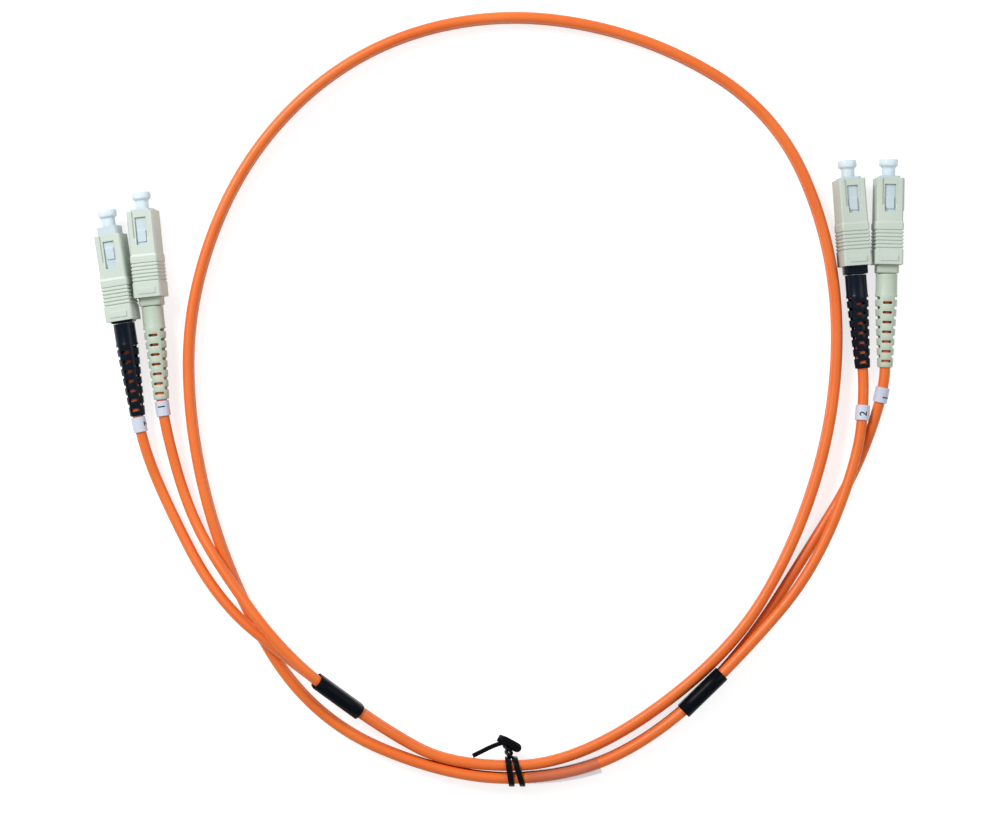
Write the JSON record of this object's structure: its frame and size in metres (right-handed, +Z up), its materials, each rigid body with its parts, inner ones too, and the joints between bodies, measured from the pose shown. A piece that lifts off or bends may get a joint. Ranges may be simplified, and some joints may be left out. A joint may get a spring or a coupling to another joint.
{
  "type": "fibre optic patch cable",
  "caption": "Duplex multimode optical patch cord, coiled and tied, with square push-pull plugs, capped ferrules, slotted boots, number sleeves and guard tubes.",
  "frame": {"origin": "middle of the coiled cable on the table top that it lies on", "axes": "+Z up from the table, +Y towards the dust caps, +X towards the right-hand pair of plugs"},
  "size_m": [0.2249, 0.2158, 0.0139],
  "materials": {
    "strand": "satin orange cord jacket",
    "grip": "satin moulded beige",
    "frame": "satin white",
    "ferrule": "polished white ceramic",
    "holder": "nickel-plated",
    "spring": "bright",
    "crimp": "plain",
    "boot_black": "matt black",
    "boot_beige": "matt beige",
    "cap": "translucent pale blue",
    "marker": "white sleeve",
    "black": "satin black",
    "clear": "clear film"
  },
  "bodies": {
    "cable": {"cord_upper": "strand", "cord_lower": "strand", "plug_frame_left_1": "frame", "ferrule_spring_left_1": "spring", "back_body_left_1": "frame", "crimp_ring_left_1": "crimp", "boot_left_1": "boot_beige", "marker_left_1": "marker", "plug_frame_left_2": "frame", "ferrule_spring_left_2": "spring", "back_body_left_2": "frame", "crimp_ring_left_2": "crimp", "boot_left_2": "boot_black", "marker_left_2": "marker", "plug_frame_right_1": "frame", "ferrule_spring_right_1": "spring", "back_body_right_1": "frame", "crimp_ring_right_1": "crimp", "boot_right_1": "boot_beige", "marker_right_1": "marker", "plug_frame_right_2": "frame", "ferrule_spring_right_2": "spring", "back_body_right_2": "frame", "crimp_ring_right_2": "crimp", "boot_right_2": "boot_black", "marker_right_2": "marker", "guard_tube_left": "black", "guard_tube_right": "black", "twist_tie": "black", "label_sleeve": "clear"},
    "grip_left_1": {"grip_left_1": "grip"},
    "ferrule_left_1": {"ferrule_left_1": "ferrule", "ferrule_holder_left_1": "holder"},
    "cap_left_1": {"dust_cap_left_1": "cap"},
    "grip_left_2": {"grip_left_2": "grip"},
    "ferrule_left_2": {"ferrule_left_2": "ferrule", "ferrule_holder_left_2": "holder"},
    "cap_left_2": {"dust_cap_left_2": "cap"},
    "grip_right_1": {"grip_right_1": "grip"},
    "ferrule_right_1": {"ferrule_right_1": "ferrule", "ferrule_holder_right_1": "holder"},
    "cap_right_1": {"dust_cap_right_1": "cap"},
    "grip_right_2": {"grip_right_2": "grip"},
    "ferrule_right_2": {"ferrule_right_2": "ferrule", "ferrule_holder_right_2": "holder"},
    "cap_right_2": {"dust_cap_right_2": "cap"}
  },
  "joints": [
    {"name": "grip_slide_left_1", "type": "slide", "parent": "cable", "child": "grip_left_1", "axis": [-0.1, 0.995, 0], "range_m": [-0.002, 0]},
    {"name": "ferrule_float_left_1", "type": "slide", "parent": "cable", "child": "ferrule_left_1", "axis": [-0.1, 0.995, 0], "range_m": [-0.002, 0], "stiffness_N_per_m": 1000, "springref_m": 0.001, "deforming": ["ferrule_spring_left_1"]},
    {"name": "cap_pull_left_1", "type": "slide", "parent": "ferrule_left_1", "child": "cap_left_1", "axis": [-0.1, 0.995, 0], "range_m": [0, 0.008]},
    {"name": "grip_slide_left_2", "type": "slide", "parent": "cable", "child": "grip_left_2", "axis": [-0.1499, 0.9887, 0], "range_m": [-0.0002, 0.0018]},
    {"name": "ferrule_float_left_2", "type": "slide", "parent": "cable", "child": "ferrule_left_2", "axis": [-0.1499, 0.9887, 0], "range_m": [-0.002, 0], "stiffness_N_per_m": 1000, "springref_m": 0.001, "deforming": ["ferrule_spring_left_2"]},
    {"name": "cap_pull_left_2", "type": "slide", "parent": "ferrule_left_2", "child": "cap_left_2", "axis": [-0.1499, 0.9887, 0], "range_m": [0, 0.008]},
    {"name": "grip_slide_right_1", "type": "slide", "parent": "cable", "child": "grip_right_1", "axis": [0.0184, 0.9998, 0], "range_m": [-0.002, 0]},
    {"name": "ferrule_float_right_1", "type": "slide", "parent": "cable", "child": "ferrule_right_1", "axis": [0.0184, 0.9998, 0], "range_m": [-0.002, 0], "stiffness_N_per_m": 1000, "springref_m": 0.001, "deforming": ["ferrule_spring_right_1"]},
    {"name": "cap_pull_right_1", "type": "slide", "parent": "ferrule_right_1", "child": "cap_right_1", "axis": [0.0184, 0.9998, 0], "range_m": [0, 0.008]},
    {"name": "grip_slide_right_2", "type": "slide", "parent": "cable", "child": "grip_right_2", "axis": [-0.0763, 0.9971, 0], "range_m": [-0.002, 0]},
    {"name": "ferrule_float_right_2", "type": "slide", "parent": "cable", "child": "ferrule_right_2", "axis": [-0.0763, 0.9971, 0], "range_m": [-0.002, 0], "stiffness_N_per_m": 1000, "springref_m": 0.001, "deforming": ["ferrule_spring_right_2"]},
    {"name": "cap_pull_right_2", "type": "slide", "parent": "ferrule_right_2", "child": "cap_right_2", "axis": [-0.0763, 0.9971, 0], "range_m": [0, 0.008]}
  ]
}
